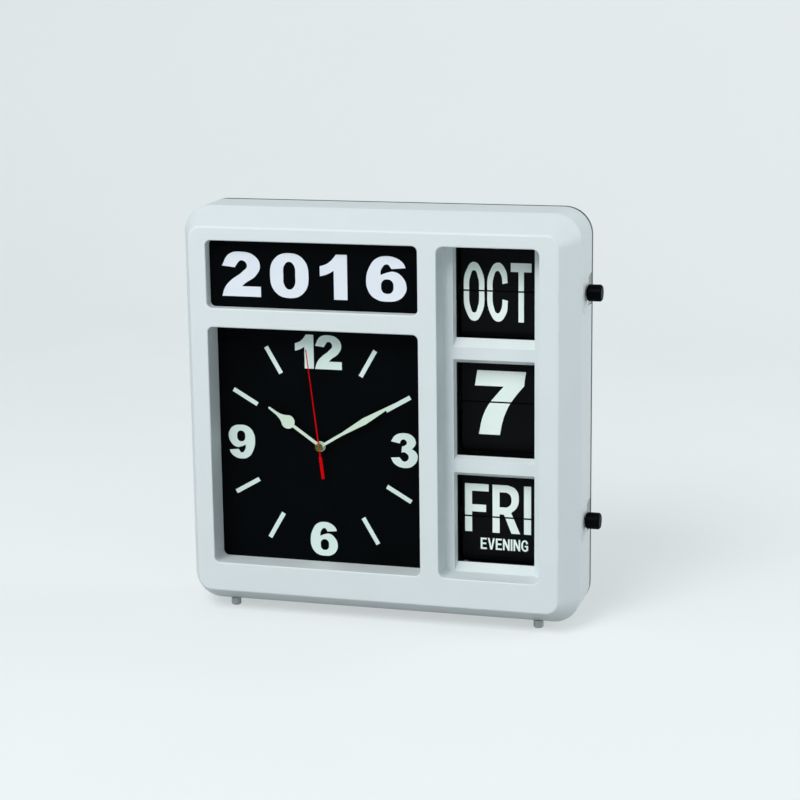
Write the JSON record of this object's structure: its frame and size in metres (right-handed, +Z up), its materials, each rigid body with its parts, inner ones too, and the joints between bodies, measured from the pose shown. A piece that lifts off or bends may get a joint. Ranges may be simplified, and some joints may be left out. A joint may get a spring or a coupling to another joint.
{
  "type": "calendar clock",
  "caption": "Square white calendar clock on small feet, with a hand dial, a year card and a column of flip leaves for month, date and weekday, set by side knobs.",
  "frame": {"origin": "middle of the overall box, knobs included, on the plane that the feet stand on", "axes": "+Z up, -Y out of the face towards the viewer, +X to the viewer's right, the knob side"},
  "size_m": [0.338, 0.086, 0.334],
  "materials": {
    "white_case": "cool white gloss moulding",
    "black_cover": "fine texture",
    "grey_plastic": "satin",
    "year_card": "printed matt black",
    "dial_black": "printed matt black",
    "leaf_black": "satin film",
    "foot_plastic": "pale translucent rubber",
    "black_knob": "satin",
    "movement_black": "fine texture",
    "frame_plastic": "natural acetal",
    "hand_white": "satin cream white",
    "hand_red": "satin red",
    "brass": "turned",
    "zinc_steel": "zinc plated",
    "tinned_spring": "tinned",
    "cell_jacket": "printed jacket"
  },
  "bodies": {
    "case": {"front_housing": "white_case", "shaft_slot_plugs": "grey_plastic", "year_panel": "year_card", "dial_panel": "dial_black", "feet": "foot_plastic", "back_cover": "black_cover", "back_cover_screws": "zinc_steel", "d_battery": "cell_jacket", "d_battery_contacts": "tinned_spring", "movement_case": "movement_black", "movement_lid": "movement_black", "movement_nut": "dial_black", "aa_battery": "cell_jacket", "aa_contacts": "tinned_spring", "calendar_plate_left": "movement_black", "calendar_plate_right": "movement_black", "calendar_tie_rods": "zinc_steel", "calendar_screws": "zinc_steel", "leaf_catches": "leaf_black", "drive_unit": "movement_black"},
    "battery_door": {"battery_door": "black_cover"},
    "minute_hand": {"minute_arbor": "brass", "minute_hand": "hand_white"},
    "hour_hand": {"hour_wheel": "frame_plastic", "hour_hand": "hand_white"},
    "minute_wheel": {"minute_wheel": "frame_plastic", "time_set_knob": "black_knob"},
    "second_hand": {"second_arbor": "brass", "second_hand": "hand_red"},
    "month_drum": {"month_shaft": "zinc_steel", "month_drum": "leaf_black", "month_leaves": "leaf_black", "month_lower_leaf": "leaf_black", "month_knob": "black_knob"},
    "month_leaf": {"month_upper_leaf": "leaf_black"},
    "date_drum": {"date_shaft": "zinc_steel", "date_drum": "leaf_black", "date_leaves": "leaf_black", "date_lower_leaf": "leaf_black"},
    "date_leaf": {"date_upper_leaf": "leaf_black"},
    "weekday_drum": {"weekday_shaft": "zinc_steel", "weekday_drum": "leaf_black", "weekday_leaves": "leaf_black", "weekday_lower_leaf": "leaf_black", "weekday_knob": "black_knob", "weekday_gear": "frame_plastic"},
    "weekday_leaf": {"weekday_upper_leaf": "leaf_black"},
    "drive_pinion": {"drive_pinion": "frame_plastic"}
  },
  "joints": [
    {"name": "battery_door_lift", "type": "slide", "parent": "case", "child": "battery_door", "axis": [0, 1, 0], "range_m": [0, 0.03]},
    {"name": "minute_hand_spin", "type": "hinge", "parent": "case", "child": "minute_hand", "pos_m": [-0.0554, -0.027, 0.1416], "axis": [0, 1, 0], "continuous": true},
    {"name": "hour_hand_spin", "type": "hinge", "parent": "case", "child": "hour_hand", "pos_m": [-0.0554, -0.025, 0.1416], "axis": [0, 1, 0], "continuous": true},
    {"name": "minute_wheel_spin", "type": "hinge", "parent": "case", "child": "minute_wheel", "pos_m": [-0.0554, -0.014, 0.1536], "axis": [0, 1, 0], "continuous": true},
    {"name": "second_hand_spin", "type": "hinge", "parent": "case", "child": "second_hand", "pos_m": [-0.0554, -0.029, 0.1416], "axis": [0, 1, 0], "continuous": true},
    {"name": "month_drum_turn", "type": "hinge", "parent": "case", "child": "month_drum", "pos_m": [0.0873, -0.00005, 0.27023], "axis": [1, 0, 0], "range_deg": [0, 30]},
    {"name": "month_leaf_fall", "type": "hinge", "parent": "month_drum", "child": "month_leaf", "pos_m": [0.0873, -0.0073, 0.27217], "axis": [1, 0, 0], "range_deg": [0, 150]},
    {"name": "date_drum_turn", "type": "hinge", "parent": "case", "child": "date_drum", "pos_m": [0.0873, 0.00464, 0.1811], "axis": [1, 0, 0], "range_deg": [0, 11.61]},
    {"name": "date_leaf_fall", "type": "hinge", "parent": "date_drum", "child": "date_leaf", "pos_m": [0.0873, -0.0073, 0.18231], "axis": [1, 0, 0], "range_deg": [0, 168.39]},
    {"name": "weekday_drum_turn", "type": "hinge", "parent": "case", "child": "weekday_drum", "pos_m": [0.0873, 0.00001, 0.08677], "axis": [1, 0, 0], "range_deg": [0, 25.71]},
    {"name": "weekday_leaf_fall", "type": "hinge", "parent": "weekday_drum", "child": "weekday_leaf", "pos_m": [0.0873, -0.0073, 0.08844], "axis": [1, 0, 0], "range_deg": [0, 154.29]},
    {"name": "drive_pinion_turn", "type": "hinge", "parent": "case", "child": "drive_pinion", "pos_m": [0.0463, 0.00001, 0.10357], "axis": [1, 0, 0], "range_deg": [-64.29, 0]}
  ],
  "couplings": [
    {"joint": "hour_hand_spin", "follows": "minute_hand_spin", "ratio": 0.083333},
    {"joint": "minute_wheel_spin", "follows": "minute_hand_spin", "ratio": -0.33333},
    {"joint": "month_leaf_fall", "follows": "month_drum_turn", "ratio": 5},
    {"joint": "date_leaf_fall", "follows": "date_drum_turn", "ratio": 14.5},
    {"joint": "weekday_leaf_fall", "follows": "weekday_drum_turn", "ratio": 6},
    {"joint": "drive_pinion_turn", "follows": "weekday_drum_turn", "ratio": -2.5}
  ]
}
